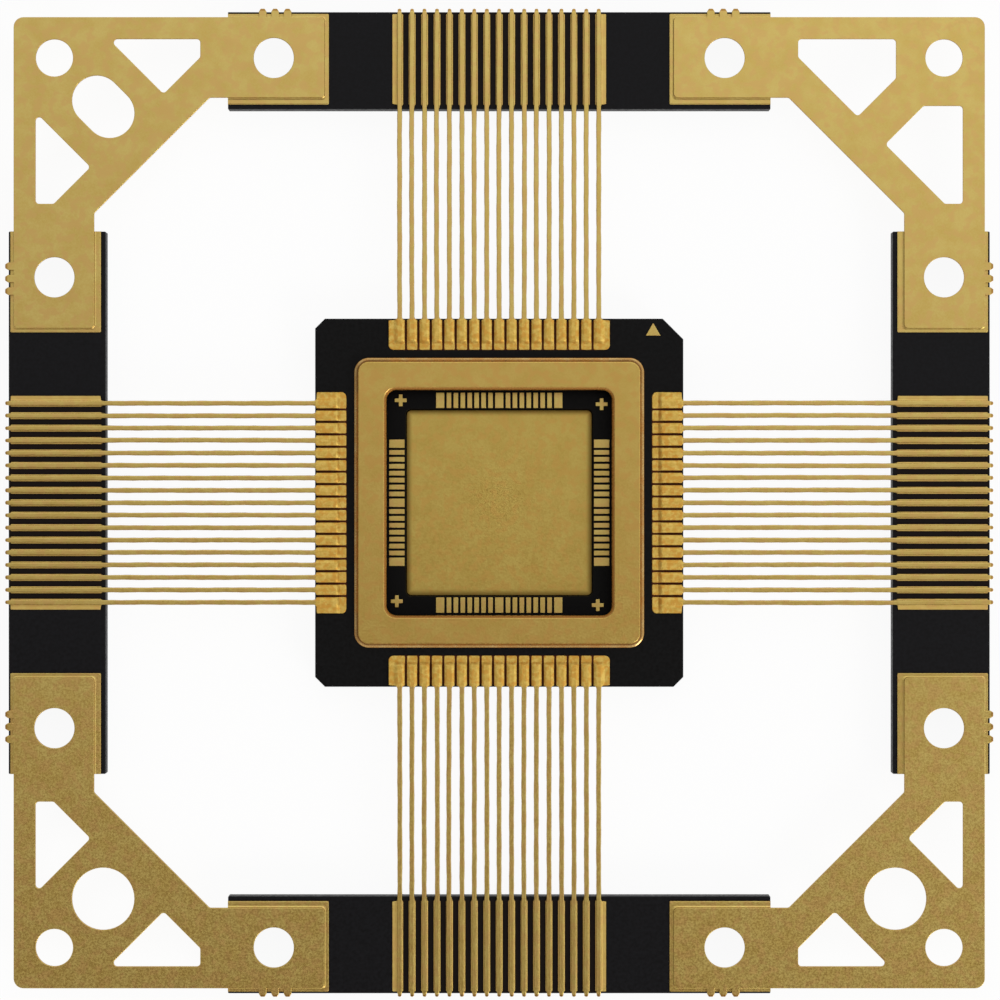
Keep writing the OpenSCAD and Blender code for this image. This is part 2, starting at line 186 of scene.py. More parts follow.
def arc(centre: tuple[float, float], radius: float, start: float, end: float, steps: int) -> np.ndarray:
    """Points of a circle from one angle to another, in degrees, both ends included."""
    angle = np.radians(np.linspace(start, end, steps + 1))
    return np.stack([centre[0] + radius * np.cos(angle), centre[1] + radius * np.sin(angle)], axis=-1)


def distance_to_outline(points: np.ndarray, outline: np.ndarray) -> np.ndarray:
    """Distance in plan from each point to the nearest edge of a closed outline.

    The foot of a point on an edge is the edge's start plus the edge times the share of it that the
    point projects to, held between 0 and 1; the nearest foot over all edges counts.

    Args:
        points: Points of any shape whose last axis starts with x and y.
        outline: The outline's corners in order, of shape (corners, 2).

    Returns:
        One distance for each point.
    """
    start = outline
    edge = np.roll(outline, -1, axis=0) - start
    away = points[..., None, :2] - start
    share = (away * edge).sum(-1) / np.maximum((edge * edge).sum(-1), MICRON**2)
    foot = np.clip(share, 0, 1)[..., None] * edge
    return np.linalg.norm(away - foot, axis=-1).min(-1)


def rolled(distance: np.ndarray, radius: float) -> np.ndarray:
    """Height share of a rolled edge: a quarter circle from 0 at the edge to 1 at radius inside it."""
    inside = np.clip(distance / radius, 0, 1)
    return np.sqrt(1 - (1 - inside) ** 2)


def eased(count: int) -> np.ndarray:
    """Shares from 0 to 1 that crowd towards both ends, as half a cosine wave does."""
    return (1 - np.cos(np.linspace(0, np.pi, count))) / 2


@dataclass(frozen=True)
class SquareRing:
    """A closed curve on a square plan, one row of a lofted surface.

    Attributes:
        half: Half the width of the square.
        leg: How far its corners are cut back, or their radius. One value, or one a corner,
            northeast first and then round by the north.
        z: Its height.
        straight: Whether the corners are straight cuts; otherwise they are arcs.
    """

    half: float
    leg: float | tuple[float, float, float, float]
    z: float
    straight: bool = False

    def points(self, steps: int) -> np.ndarray:
        """The curve's points, corner by corner.

        A corner is its centre plus the leg times a unit vector that turns through 90 degrees, or
        plus a vector that goes straight from one end of the cut to the other.

        Args:
            steps: Steps round each corner.

        Returns:
            The points in order, one to a row.
        """
        share = np.linspace(0, 1, steps + 1)[:, None]
        if self.straight:
            turn = np.hstack([1 - share, share])
        else:
            turn = np.hstack([np.cos(share * np.pi / 2), np.sin(share * np.pi / 2)])
        height = np.full((steps + 1, 1), self.z)
        corners = [side.turn(np.hstack([self.half - leg + leg * turn, height]))
                   for side, leg in zip(Side, np.broadcast_to(self.leg, len(Side)))]
        return np.vstack(corners)


def loft(rings: Sequence[SquareRing], closed: bool = False, steps: int = 10) -> Patch:
    """A surface through square rings in order, capped at both ends or closed on itself."""
    points = np.stack([ring.points(steps) for ring in rings])
    return Patch.grid(points, wrap=(closed, True), caps=not closed)


def rounded_edge(half: float, leg: float, z: float, radius: float, inner: bool = False,
                 steps: int = 4) -> list[SquareRing]:
    """Rings over the rounded top edge of a square wall, along a quarter circle.

    Args:
        half: Half width of the wall's face.
        leg: Corner radius of the wall's face.
        z: Height of the flat top.
        radius: Radius of the edge.
        inner: Whether the wall faces the middle; then the rings go from the top down the wall.
        steps: Steps round the edge.

    Returns:
        Rings from the wall to the top, or from the top to the wall.
    """
    out = 1 if inner else -1
    rings = []
    for angle in np.linspace(0, np.pi / 2, steps + 1):
        shift = out * radius * (1 - np.cos(angle))
        rings.append(SquareRing(half + shift, leg + shift, z - radius * (1 - np.sin(angle))))
    return rings[::-1] if inner else rings


# ---- Pieces --------------------------------------------------------------------------------------

MERGE = 0.2 * MICRON  # Points of a new piece that lie nearer than this are one
LEVEL = 0.9999  # Upward share of the normal from which a face counts as level
CREASE = 50.0  # Angle in degrees above which an edge stays sharp, where a piece asks for no other
HARD = 35.0  # Angle in degrees above which an edge of a node is rounded
WAVER = 0.5  # Angle in degrees within which the triangles of a node lie on one face
BEVEL_STEPS = 3


def stand(name: str, data: bpy.types.ID) -> bpy.types.Object:
    """Puts a mesh, a lamp or a camera into the scene.

    Args:
        name: Name of the object that holds it.
        data: The mesh, lamp or camera.

    Returns:
        The object.
    """
    thing = bpy.data.objects.new(name, data)
    bpy.context.scene.collection.objects.link(thing)
    return thing


def stand_shell(name: str, shell: bmesh.types.BMesh, sharp: float) -> bpy.types.Object:
    """Shades a worked shell and stands it in the scene.

    Level faces are shaded flat and the others smooth, with a crease where they meet above an angle.

    Args:
        name: Name of the piece and of its mesh.
        shell: The shell, which is freed.
        sharp: That angle, in degrees.

    Returns:
        The piece.
    """
    shell.normal_update()
    for face in shell.faces:
        face.smooth = abs(face.normal.z) < LEVEL
    for edge in shell.edges:
        edge.smooth = edge.calc_face_angle(0) < np.radians(sharp)
    mesh = bpy.data.meshes.new(name)
    shell.to_mesh(mesh)
    shell.free()
    return stand(name, mesh)


def dress(piece: bpy.types.Object, finish: "Finish", nodes: Sequence[str]) -> None:
    """Gives a piece its one material and lets it ride on the part's only body.

    Args:
        piece: The piece.
        finish: Its finish.
        nodes: The nodes that it stands for.
    """
    piece.data.materials.append(finish.material())
    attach(piece, BODY)
    if nodes:
        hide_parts(*nodes)
    log.info("%s: %d faces, %s", piece.name, len(piece.data.polygons), finish.name)


def piece_from(name: str, patches: Sequence[Patch], finish: "Finish",
               nodes: Sequence[str] = (), sharp: float = CREASE) -> None:
    """Makes one piece from patches, with doubles merged and faces turned outwards.

    Args:
        name: Name of the piece.
        patches: Closed surfaces.
        finish: Its finish.
        nodes: The nodes that it stands for.
        sharp: Angle in degrees above which an edge stays sharp.
    """
    whole = Patch.joined(patches)
    draft = bpy.data.meshes.new("draft")
    draft.from_pydata(whole.points.tolist(), [], whole.faces)
    shell = bmesh.new()
    shell.from_mesh(draft)
    bpy.data.meshes.remove(draft)
    bmesh.ops.remove_doubles(shell, verts=shell.verts, dist=MERGE)
    bmesh.ops.recalc_face_normals(shell, faces=shell.faces)
    piece = stand_shell(name, shell, sharp)
    piece.modifiers.new("flat faces stay flat", "WEIGHTED_NORMAL").keep_sharp = True
    dress(piece, finish, nodes)


def softened(node: str, finish: "Finish", radius: float) -> None:
    """Makes a copy of a node with its loose triangles merged and its hard edges rounded.

    Args:
        node: The node, which the copy stands for.
        finish: The copy's finish.
        radius: Radius of the rounded edges.
    """
    shell = bmesh.new()
    shell.from_mesh(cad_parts[node].data)
    bmesh.ops.remove_doubles(shell, verts=shell.verts, dist=MICRON)
    bmesh.ops.dissolve_limit(shell, angle_limit=np.radians(WAVER), verts=shell.verts, edges=shell.edges)
    hard = [edge for edge in shell.edges if edge.calc_face_angle(0) > np.radians(HARD)]
    bmesh.ops.bevel(shell, geom=hard, offset=radius, segments=BEVEL_STEPS, profile=0.5,
                    affect="EDGES", clamp_overlap=True)
    piece = stand_shell(f"soft_{node}", shell, CREASE)
    piece.data.attributes.remove(piece.data.attributes["custom_normal"])
    dress(piece, finish, [node])


# ---- Finishes ------------------------------------------------------------------------------------

NOISE_SPAN = (0.30, 0.70)  # Where nearly all of a noise's values lie
FACING_UP = (0.3, 0.7)  # Upward share of the normal over which a colour of upward faces comes in
FACING_DOWN = (-0.7, -0.3)  # The same for a colour that only downward faces lack


class Graph:
    """The nodes of one material or of the world, with the few kinds that this scene needs."""

    def __init__(self, owner: bpy.types.Material | bpy.types.World) -> None:
        """Opens the owner's nodes."""
        owner.use_nodes = True
        self.tree = owner.node_tree

    def feed(self, target: Socket, value: Socket | float | Colour) -> None:
        """Links an input to another node's output, or gives it a plain value.

        Args:
            target: The input.
            value: The output, the number or the colour.
        """
        if isinstance(value, Socket):
            self.tree.links.new(value, target)
        else:
            target.default_value = value

    def add(self, kind: str, inputs: dict[str | int, Socket | float | Colour] | None = None,
            **settings: str) -> bpy.types.Node:
        """Adds a node.

        Args:
            kind: Blender's name for its kind.
            inputs: What its inputs are fed with, by their names or places.
            settings: Its other settings, such as its operation.

        Returns:
            The node.
        """
        node = self.tree.nodes.new(kind)
        for name, setting in settings.items():
            setattr(node, name, setting)
        for place, value in (inputs or {}).items():
            self.feed(node.inputs[place], value)
        return node

    def ramp(self, value: Socket, source: Range, target: Range) -> Socket:
        """Carries a value from one range to another along a smooth step, held at both ends.

        Args:
            value: The value.
            source: The range that it comes from, upwards.
            target: What it becomes at the two ends of that range.

        Returns:
            The new value.
        """
        inputs = {"Value": value, "From Min": source[0], "From Max": source[1],
                  "To Min": target[0], "To Max": target[1]}
        return self.add("ShaderNodeMapRange", inputs, interpolation_type="SMOOTHSTEP").outputs["Result"]

    def math(self, operation: str, *values: Socket | float) -> Socket:
        """Works out one step of arithmetic.

        Args:
            operation: Blender's name for it.
            values: What it works on, in order.

        Returns:
            The result.
        """
        return self.add("ShaderNodeMath", dict(enumerate(values)), operation=operation).outputs["Value"]

    def product(self, *values: Socket) -> Socket:
        """Multiplies values.

        Args:
            values: Two values or more.

        Returns:
            Their product.
        """
        result = values[0]
        for value in values[1:]:
            result = self.math("MULTIPLY", result, value)
        return result

    def blend(self, factor: Socket, first: Socket | Colour, second: Socket | Colour) -> Socket:
        """Mixes two colours.

        Args:
            factor: The share of the second.
            first: The colour where the factor is 0.
            second: The colour where it is 1.

        Returns:
            The mixed colour.
        """
        node = self.add("ShaderNodeMix", {"Factor": factor}, data_type="RGBA")
        ends = {end.identifier: end for end in (*node.inputs, *node.outputs)}
        self.feed(ends["A_Color"], first)
        self.feed(ends["B_Color"], second)
        return ends["Result_Color"]


class Shader(Graph):
    """The nodes of a finish's material, which all feed its Principled surface."""

    def __init__(self, name: str) -> None:
        """Starts the material.

        Args:
            name: Its name, which is the finish's.
        """
        self.material = bpy.data.materials.new(name)
        super().__init__(self.material)
        self.surface = self.tree.nodes["Principled BSDF"]
        self.coordinates = self.add("ShaderNodeTexCoord")

    def axes(self, output: str) -> tuple[Socket, ...]:
        """X, Y and Z of an output of the coordinates, such as Object or Normal."""
        return tuple(self.add("ShaderNodeSeparateXYZ", {0: self.coordinates.outputs[output]}).outputs)

    def noise(self, size: float, detail: float) -> Socket:
        """Noise on the piece's own coordinates.

        Args:
            size: Size of its patches in metres.
            detail: Number of finer octaves.

        Returns:
            Its value, near 0.5 on average.
        """
        inputs = {"Vector": self.coordinates.outputs["Object"], "Scale": 1 / size, "Detail": detail}
        return self.add("ShaderNodeTexNoise", inputs).outputs["Fac"]

    def give(self, quality: str, value: Socket | float) -> None:
        """Feeds one quality of the surface, such as its Roughness."""
        self.feed(self.surface.inputs[quality], value)

    def bump(self, height: Socket, depth: float) -> None:
        """Raises the surface by height times depth, in metres."""
        raised = self.add("ShaderNodeBump", {"Height": height, "Distance": depth})
        self.give("Normal", raised.outputs["Normal"])


@dataclass(frozen=True)
class Finish:
    """What every finish has.

    Attributes:
        name: Name of its material, which no material of the frame has.
    """

    name: str

    def build(self, shader: Shader) -> None:
        """Fills the shader; each finish has its own way."""
        raise NotImplementedError

    def material(self) -> bpy.types.Material:
        """Makes the finish's material once, and then shares it.

        Returns:
            The material.
        """
        made = bpy.data.materials.get(self.name)
        if made is None:
            shader = Shader(self.name)
            self.build(shader)
            made = shader.material
        return made


@dataclass(frozen=True)
class GoldPlate(Finish):
    """Satin gold plating that drifts between three tones, with painted shade in brown where it is steep.

    Attributes:
        light: Lighter tone.
        dark: Darker tone.
        warm: Redder tone, which comes in patches of its own.
        steep: Painted shade in brown on walls and at the feet of fillets; broken-off ends share it.
        rough: Least and greatest roughness.
        burnished: Roughness where it is steep.
        dull: Share by which steep faces turn from metal to matte, so that the painted shade shows there.
        cloud: Size of the drifting tone, in metres.
        cloud_span: Range of its noise between the dark tone and the light one.
        cloud_share: Share of the drift in the tone; the rest is the grain's.
        patch: Size of the redder patches, in metres.
        patch_span: Range of their noise between none of the redder tone and the most.
        patch_share: The most that there is of the redder tone.
        grain: Size of the plating's grain, in metres.
        relief: Depth of that grain, in metres.
        steep_from: Upward share of the normal at which the brown starts and at which it is full.
        torn_and_rim_shade_from: Distance from the middle at which broken-off ends start, and where they are
            full; the gold floor's painted dark rim uses it too.
        torn_and_rim_shade_share: Share of the brown on broken-off ends, and of the painted shade on that
            rim.
    """

    light: Colour = srgb(211, 190, 113)
    dark: Colour = srgb(201, 173, 95)
    warm: Colour = srgb(208, 173, 105)
    steep: Colour = srgb(168, 120, 54)
    rough: Range = (0.30, 0.44)
    burnished: float = 0.24
    dull: float = 0.0
    cloud: float = 1.1 * MM
    cloud_span: Range = (0.32, 0.68)
    cloud_share: float = 0.55
    patch: float = 0.45 * MM
    patch_span: Range = (0.46, 0.62)
    patch_share: float = 0.7
    grain: float = 0.09 * MM
    relief: float = 1.2 * MICRON
    steep_from: Range = (0.86, 0.25)
    torn_and_rim_shade_from: Range = (25.06 * MM, 25.12 * MM)
    torn_and_rim_shade_share: float = 0.75

    def build(self, shader: Shader) -> None:
        """Three noises set the tone, the normal sets the painted brown shade, and the grain sets gloss and
        bump.

        Args:
            shader: The shader to fill.
        """
        cloud = shader.ramp(shader.noise(self.cloud, detail=3), self.cloud_span, (0, 1))
        grain = shader.noise(self.grain, detail=3)
        speckle = shader.math("MULTIPLY", shader.ramp(grain, NOISE_SPAN, (0, 1)), 1 - self.cloud_share)
        tone = shader.math("MULTIPLY_ADD", cloud, self.cloud_share, speckle)
        patches = shader.ramp(shader.noise(self.patch, detail=2), self.patch_span, (0, self.patch_share))
        plated = shader.blend(patches, shader.blend(tone, self.dark, self.light), self.warm)

        upward = shader.math("ABSOLUTE", shader.axes("Normal")[2])
        steepness = shader.ramp(upward, self.steep_from[::-1], (1, 0))
        x, y, _ = shader.axes("Object")
        reach = shader.math("MAXIMUM", shader.math("ABSOLUTE", x), shader.math("ABSOLUTE", y))
        # Broken-off ends turn brown; on the gold floor this mask instead paints a dark rim, painted shade
        # and reflection of the cavity walls.
        torn_and_rim_shade = shader.ramp(reach, self.torn_and_rim_shade_from, (0, self.torn_and_rim_shade_share))
        # Painted shade: steep faces turn brown and, by dull, lose metal, standing for the shade and dark
        # reflections on walls and fillet feet.
        shader.give("Base Color", shader.blend(shader.math("MAXIMUM", steepness, torn_and_rim_shade), plated, self.steep))
        shader.give("Metallic", shader.math("MULTIPLY_ADD", steepness, -self.dull, 1.0))

        satin = shader.ramp(grain, NOISE_SPAN, self.rough)
        polish = self.burnished - sum(self.rough) / 2
        shader.give("Roughness", shader.math("MULTIPLY_ADD", steepness, polish, satin))
        shader.bump(grain, self.relief)


@dataclass(frozen=True)
class BlackCeramic(Finish):
    """Dull black fired ceramic with a fine grain, brown beside the gold, and darker in the cavity by
    painted shade.

    Attributes:
        light: Lighter tone.
        dark: Darker tone.
        gap_brown: Colour of the narrow strips between lead pads.
        browned: Nearest and farthest distance from the middle of the brown strips.
        gap_brown_half: Half the length of a brown row.
        gloss: Strength of its mirror-like share; 0.5 is that of glass.
        rough: Least and greatest roughness.
        grain: Size of the grain, in metres.
        relief: Depth of the grain, in metres.
        cavity_shade: Painted shade, the darker colour that the ceramic gets down in the cavity.
        cavity_shade_half: Half the width over which the painted shade lies, or 0 without a cavity.
        cavity_shade_from: Height at which that painted shade starts, and the height at which it is full.
        margin: Width over which a limit in plan comes in, in metres.
    """

    light: Colour
    dark: Colour
    gap_brown: Colour
    browned: Range
    gap_brown_half: float
    gloss: float
    rough: Range = (0.42, 0.58)
    grain: float = 0.16 * MM
    relief: float = 1.5 * MICRON
    cavity_shade: Colour = (0.0006, 0.0005, 0.0005, 1.0)
    cavity_shade_half: float = 0.0
    cavity_shade_from: Range = (0.0, -1.0 * MM)
    margin: float = 0.04 * MM

    def build(self, shader: Shader) -> None:
        """Noise sets the tone; boxes in plan set the brown on upward faces and the painted shade in the
        cavity.

        Args:
            shader: The shader to fill.
        """
        grain = shader.noise(self.grain, detail=4)
        tone = shader.ramp(grain, NOISE_SPAN, (0, 1))
        x, y, z = shader.axes("Object")
        across, along = shader.math("ABSOLUTE", x), shader.math("ABSOLUTE", y)
        reach = shader.math("MAXIMUM", across, along)
        beside = shader.math("MINIMUM", across, along)
        facing = shader.axes("Normal")[2]

        def within(value: Socket, limit: float) -> Socket:
            """One where the value is below the limit, and none from a margin past it."""
            return shader.ramp(value, (limit, limit + self.margin), (1, 0))

        start, end = self.browned
        past = shader.ramp(reach, (start - self.margin, start + self.margin), (0, 1))
        before = shader.ramp(reach, (end - self.margin, end + self.margin), (1, 0))
        # Brown on upward faces, in the rows between the lead pads.
        gap_brown = shader.product(past, before, within(beside, self.gap_brown_half),
                               shader.ramp(facing, FACING_UP, (0, 1)))
        # Painted shade: faces that do not point down grow darker below the top, inside the cavity.
        cavity_shade = shader.product(shader.ramp(z, self.cavity_shade_from[::-1], (1, 0)), within(reach, self.cavity_shade_half),
                              shader.ramp(facing, FACING_DOWN, (0, 1)))
        browned = shader.blend(gap_brown, shader.blend(tone, self.dark, self.light), self.gap_brown)
        shader.give("Base Color", shader.blend(cavity_shade, browned, self.cavity_shade))
        shader.give("Specular IOR Level", self.gloss)
        shader.give("Roughness", shader.ramp(grain, NOISE_SPAN, self.rough))
        shader.bump(grain, self.relief)


# ---- Sub-assemblies ------------------------------------------------------------------------------


@dataclass
class CeramicPackage:
    """The fired body with its cavity, the gold floor, and the printed marks and bond fingers.

    Attributes:
        finish: The body's finish.
        floor_gold: The finish of the gold floor.
        print_gold: The finish of the marks and fingers.
        index_chamfer: Cut of the body's corner at pin 1.
        corner_chamfer: Cut of its other corners.
        ring_width: Width of the seal ring round the opening.
        opening_radius: Corner radius of the opening down to the shelf.
        die_radius: Corner radius of the cavity below the shelf.
        die_margin: Bare ceramic round the gold floor.
        edge: Radius of the body's edges.
        print_edge: Radius of the edges of print.
        sharp: Angle in degrees above which an edge of the body stays sharp.
    """

    finish: BlackCeramic
    floor_gold: GoldPlate
    print_gold: GoldPlate
    index_chamfer: float = 1.05 * MM
    corner_chamfer: float = 0.50 * MM
    ring_width: float = 1.45 * MM
    opening_radius: float = 0.50 * MM
    die_radius: float = 0.30 * MM
    die_margin: float = 0.04 * MM
    edge: float = 0.04 * MM
    print_edge: float = 0.018 * MM
    sharp: float = 35.0

    def __post_init__(self) -> None:
        """Reads the heights and half widths from the frame."""
        low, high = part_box("ceramic_body")
        self.half, self.bottom, self.top = high.x, low.z, high.z
        self.opening_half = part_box("seal_ring")[1].x - self.ring_width
        self.shelf_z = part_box("bond_fingers_north")[0].z
        low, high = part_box("die_attach_pad")
        self.die_half = high.x + self.die_margin
        self.floor_z, self.floor_top = low.z, high.z

    def body(self) -> None:
        """The body as one loft: underside, outer wall, top, opening, shelf, cavity and its floor."""
        plain = self.corner_chamfer
        legs = (self.index_chamfer, plain, plain, plain)
        edge, third, strip = self.edge, self.edge / 3, self.edge * 3
        bottom, top = self.bottom, self.top

        def outline(inset: float, z: float) -> SquareRing:
            """The chamfered outline at a height, moved in by inset."""
            shrink = inset * (2 - np.sqrt(2))
            return SquareRing(self.half - inset, tuple(leg - shrink for leg in legs), z, straight=True)

        rings = [outline(edge, bottom), outline(third, bottom + third), outline(0, bottom + edge),
                 outline(0, top - edge), outline(third, top - third), outline(edge, top),
                 outline(strip, top)]
        rings += [SquareRing(self.opening_half + strip, self.opening_radius + strip, top)]
        rings += rounded_edge(self.opening_half, self.opening_radius, top, edge, inner=True)
        rings += [SquareRing(self.opening_half, self.opening_radius, self.shelf_z)]
        rings += rounded_edge(self.die_half, self.die_radius, self.shelf_z, edge / 2, inner=True)
        rings += [SquareRing(self.die_half, self.die_radius, self.floor_z)]
        piece_from("fired_body", [loft(rings)], self.finish, ["ceramic_body"], self.sharp)

    def gold_floor(self) -> None:
        """The gold floor of the die cavity, a thin slab with a rolled edge."""
        half, leg = self.die_half - self.die_margin, self.die_radius - self.die_margin
        rings = [SquareRing(half, leg, self.floor_z)]
        rings += rounded_edge(half, leg, self.floor_top, self.print_edge)
        piece_from("gold_floor", [loft(rings)], self.floor_gold, ["die_attach_pad"])

    def prints(self) -> None:
        """Bond fingers, alignment crosses and the pin 1 mark, with the soft edges of thick print."""
        for node in [f"bond_fingers_{side.label}" for side in Side] + ["alignment_crosses"]:
            softened(node, self.print_gold, self.print_edge)
        softened("pin_one_mark", self.print_gold, self.print_edge)

    def make(self) -> None:
        """Makes every piece of the package."""
        self.body()
        self.gold_floor()
        self.prints()


@dataclass
class SealRing:
    """The metal ring round the cavity, and the braze fillet that holds it.

    Attributes:
        ring_gold: The ring's finish.
        braze_gold: The braze's finish.
        width: Width of the ring's wall.
        outer_radius: Corner radius of its outer face.
        inner_radius: Corner radius of its inner face.
        roll: Radius of its rolled outer edge.
        inner_bevel: Size of the soft bevel on its inner edge.
        bevel_profile: That bevel from the top to the wall, as shares of its size out and down.
        lip: How far the braze goes on inside the ring's face, and how far short of the print's edge
            its slope ends.
        hollow: Shape of the braze's slope; 1 is straight and more is hollow.
        braze_steps: Steps down that slope.
        corner_steps: Steps round each corner.
    """

    ring_gold: GoldPlate
    braze_gold: GoldPlate
    width: float = 1.45 * MM
    outer_radius: float = 0.55 * MM
    inner_radius: float = 0.50 * MM
    roll: float = 0.06 * MM
    inner_bevel: float = 0.15 * MM
    bevel_profile: tuple[tuple[float, float], ...] = (
        (1.0, 0.0), (0.9, 0.03), (0.75, 0.14), (0.3, 0.56), (0.1, 0.78), (0.0, 1.0))
    lip: float = 0.02 * MM
    hollow: float = 1.5
    braze_steps: int = 8
    corner_steps: int = 20

    def __post_init__(self) -> None:
        """Reads the ring's foot and wall from the frame."""
        self.foot, self.top = (corner.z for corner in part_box("seal_ring"))
        self.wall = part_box("seal_ring")[1].x
        self.inner = self.wall - self.width

    def outer_ring(self, out: float, z: float) -> SquareRing:
        """A curve outside the ring's wall by some length, or inside it if that is negative."""
        return SquareRing(self.wall + out, self.outer_radius + out, z)

    def inner_ring(self, out: float, z: float) -> SquareRing:
        """A curve outside the ring's inner face by some length."""
        return SquareRing(self.inner + out, self.inner_radius + out, z)

    def ring(self) -> None:
        """The ring as a loft closed on itself: outer wall, rolled edge, top, bevel, inner wall, foot."""
        rings = [self.outer_ring(0.0, self.foot)]
        rings += rounded_edge(self.wall, self.outer_radius, self.top, self.roll, steps=6)
        rings += [self.inner_ring(out * self.inner_bevel, self.top - down * self.inner_bevel)
                  for out, down in self.bevel_profile]
        rings += [self.inner_ring(0.0, self.foot)]
        piece_from("ring_of_gold", [loft(rings, closed=True, steps=self.corner_steps)], self.ring_gold,
                   ["seal_ring"])

    def braze(self) -> None:
        """The fillet round the ring's foot.

        Its height falls from the ring's wall to the print as one less the share of its reach, to a
        power that makes the slope slightly hollow.
        """
        low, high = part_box("seal_ring_braze")
        reach = high.x - self.wall
        share = np.linspace(0, 1, self.braze_steps + 1)
        heights = self.foot + (high.z - self.foot) * (1 - share) ** self.hollow
        rings = [self.outer_ring(-self.lip, high.z)]
        rings += [self.outer_ring(out, z) for out, z in zip((reach - self.lip) * share, heights)]
        rings += [self.outer_ring(reach, (low.z + self.foot) / 2), self.outer_ring(reach, low.z),
                  self.inner_ring(0.0, low.z), self.inner_ring(0.0, self.foot),
                  self.outer_ring(-self.lip, self.foot)]
        piece_from("ring_braze", [loft(rings, closed=True, steps=self.corner_steps)], self.braze_gold,
                   ["seal_ring_braze"])

    def make(self) -> None:
        """Makes the ring and its braze."""
        self.ring()
        self.braze()


@dataclass(frozen=True)
class PadShape:
    """One kind of lead pad, drawn with its plain end at y = 0 and its creeping end up.

    Attributes:
        half: Half its width.
        length: Its length without the metal that creeps on along the lead.
        creep: How far the metal creeps.
        extra: How much wider an end pad is on its outer side.
        cut: Radius of a plain corner.
        wide_cut: Radius of an end pad's outer corner.
        lead_from: Where the lead's own end lies, or a negative length if the lead runs on.
        lead_half: Half the width of the lead on it.
        thickness: Thickness of the print.
        swell: How much higher the braze stands than the print at the foot of the lead's sides.
        crest: Height of the braze above the print at the lead.
        run: How far the braze reaches from the lead's sides, and from its end.
        power: Shape of its slope; 1 is straight, less bulges and more is hollow.
        edge: Radius of the rolled edge.
        corner: Length over which an end pad's wider part closes.
        rows: Rows of points at the plain end's corners, along the pad, where a wider part closes,
            and along the creeping metal.
        columns: Points across.
    """

    half: float
    length: float
    creep: float
    extra: float
    cut: float
    wide_cut: float
    lead_from: float
    lead_half: float
    thickness: float
    swell: float
    crest: float
    run: tuple[float, float]
    power: float
    edge: float = 0.024 * MM
    corner: float = 0.04 * MM
    rows: tuple[int, int, int, int] = (8, 20, 4, 7)
    columns: int = 25

    def reach(self, y: np.ndarray, wider: bool) -> np.ndarray:
        """Half width of one side of the pad.

        It shrinks along a quarter circle at the plain end's corner. An end pad's wider part closes
        on a quarter ellipse at the other end, and past it the metal narrows to the lead as one
        less the sine of an angle whose cosine falls evenly with y.

        Args:
            y: Distances from the plain end.
            wider: Whether this is the outer side of an end pad.

        Returns:
            One half width for each distance.
        """
        full = self.half + (self.extra if wider else 0)
        cut = self.wide_cut if wider else self.cut
        near = full - cut * (1 - rolled(y, cut))
        close = np.clip((y - self.length + self.corner) / self.corner, 0, 1)
        body = self.half + (near - self.half) * (np.sqrt(1 - close**2) if wider else 1.0)
        climb = np.clip((y - self.length) / self.creep, 0, 1)
        angle = np.arccos(1 - climb)
        tongue = self.lead_half + (self.half - self.lead_half) * (1 - np.sin(angle))
        return np.where(y > self.length, tongue, body)

    def heights(self, points: np.ndarray, outline: np.ndarray) -> np.ndarray:
        """Height of the metal over each point.

        Beside the lead the crest falls as one less the share of the run, to the shape's power.
        Behind the lead's end, crest and swell fall along a smooth step, and over the creeping end
        they thin out as a quarter circle does. The print and the swell over it are rolled off at
        the outline.

        Args:
            points: The points, with x and y first on their last axis.
            outline: The pad's outline.

        Returns:
            One height for each point.
        """
        side_run, end_run = self.run
        beside = np.clip(np.abs(points[..., 0]) - self.lead_half, 0, None) / side_run
        behind = np.clip(self.lead_from - points[..., 1], 0, None) / end_run
        along = np.clip(1 - behind, 0, 1)
        along = along * along * (3 - 2 * along)
        fade = rolled(self.length + self.creep - points[..., 1], self.creep)
        swell = self.swell * along * fade
        peak = (self.crest - self.swell) * np.clip(1 - beside, 0, 1) ** self.power * along * fade
        return (self.thickness + swell) * rolled(distance_to_outline(points, outline), self.edge) + peak

    def surface(self, wider_left: bool, wider_right: bool) -> Patch:
        """The pad as a height over a grid, closed below by one face.

        Its rows crowd towards the corners of the outline, and its points towards both sides.

        Args:
            wider_left: Whether it is wider on the left.
            wider_right: Whether it is wider on the right.

        Returns:
            The closed surface.
        """
        cuts = max(self.cut, self.wide_cut)
        shoulder = self.length - self.corner
        at_cuts, along, at_shoulder, at_creep = self.rows
        y = np.concatenate([
            cuts * eased(at_cuts + 1)[:-1],
            cuts + (shoulder - cuts) * eased(along + 1)[:-1],
            shoulder + self.corner * eased(at_shoulder + 1)[:-1],
            self.length + self.creep * eased(at_creep),
        ])
        left, right = -self.reach(y, wider_left), self.reach(y, wider_right)
        x = left[:, None] + (right - left)[:, None] * eased(self.columns)
        outline = np.vstack([np.stack([right, y], -1), np.stack([left, y], -1)[::-1]])
        points = np.stack([x, np.broadcast_to(y[:, None], x.shape), np.zeros_like(x)], -1)
        points[..., 2] = self.heights(points, outline)
        rim = np.vstack([points[0], points[1:, -1], points[-1, -2::-1], points[-2:0:-1, 0]])
        base = rim * (1, 1, 0)
        skirt = Patch.grid(np.stack([rim, base]), wrap=(False, True))
        bottom = Patch(base, [list(range(len(base)))])
        return Patch.joined([Patch.grid(points), skirt, bottom])


